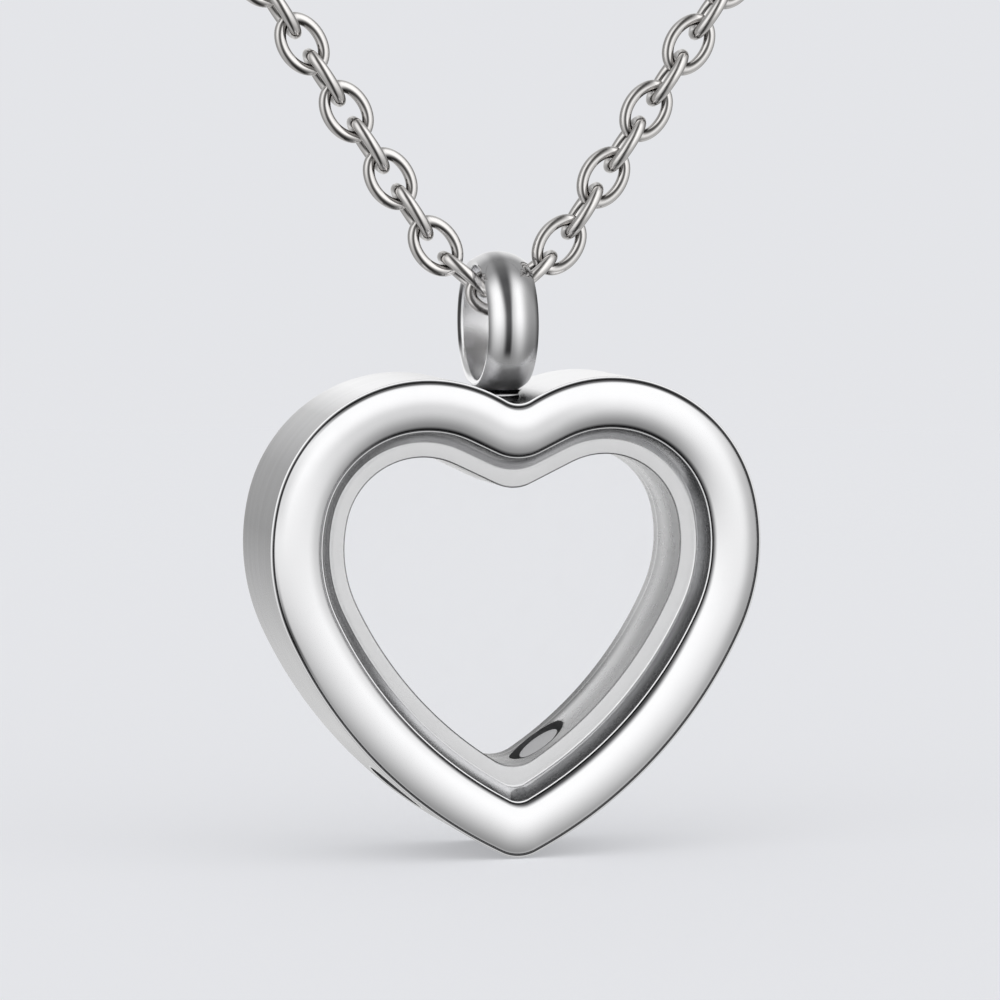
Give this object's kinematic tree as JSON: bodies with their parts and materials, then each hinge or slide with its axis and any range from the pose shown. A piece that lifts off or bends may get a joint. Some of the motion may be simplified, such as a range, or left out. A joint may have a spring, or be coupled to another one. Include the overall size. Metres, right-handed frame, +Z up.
{
  "type": "keepsake urn pendant",
  "caption": "Hollow steel heart pendant with a glass pane on each side, small filler screws, a soldered ring bail and a cable chain.",
  "frame": {"origin": "nape of the neck, at the middle of the clasp, where the necklace hangs", "axes": "+Z up; the front glass faces -Y; +X to the right seen from behind the pendant's back, which is the viewer's right seen from the front"},
  "size_m": [0.126, 0.0881, 0.1595],
  "materials": {
    "case_steel": "polished stainless steel; satin on the ledge and inside the chamber",
    "glass": "clear polished pane",
    "screw_steel": "turned stainless steel",
    "chain_steel": "polished wire"
  },
  "bodies": {
    "chain": {"chain_front": "chain_steel", "chain_back": "chain_steel", "clasp": "chain_steel", "hook_ring": "chain_steel", "eye_ring": "chain_steel"},
    "pendant": {"heart_case": "case_steel", "front_glass": "glass", "back_glass": "glass"},
    "screw_left": {"screw_left": "screw_steel"},
    "screw_right": {"screw_right": "screw_steel"}
  },
  "joints": [
    {"name": "pendant_swing", "type": "hinge", "parent": "chain", "child": "pendant", "pos_m": [0, -0.08221, -0.1295], "axis": [1, 0, 0], "range_deg": [-16, 16]},
    {"name": "screw_left_out", "type": "slide", "parent": "pendant", "child": "screw_left", "axis": [-0.6428, 0, -0.766], "range_m": [0, 0.0045]},
    {"name": "screw_right_out", "type": "slide", "parent": "pendant", "child": "screw_right", "axis": [0.5807, 0, -0.8141], "range_m": [0, 0.0045]}
  ]
}
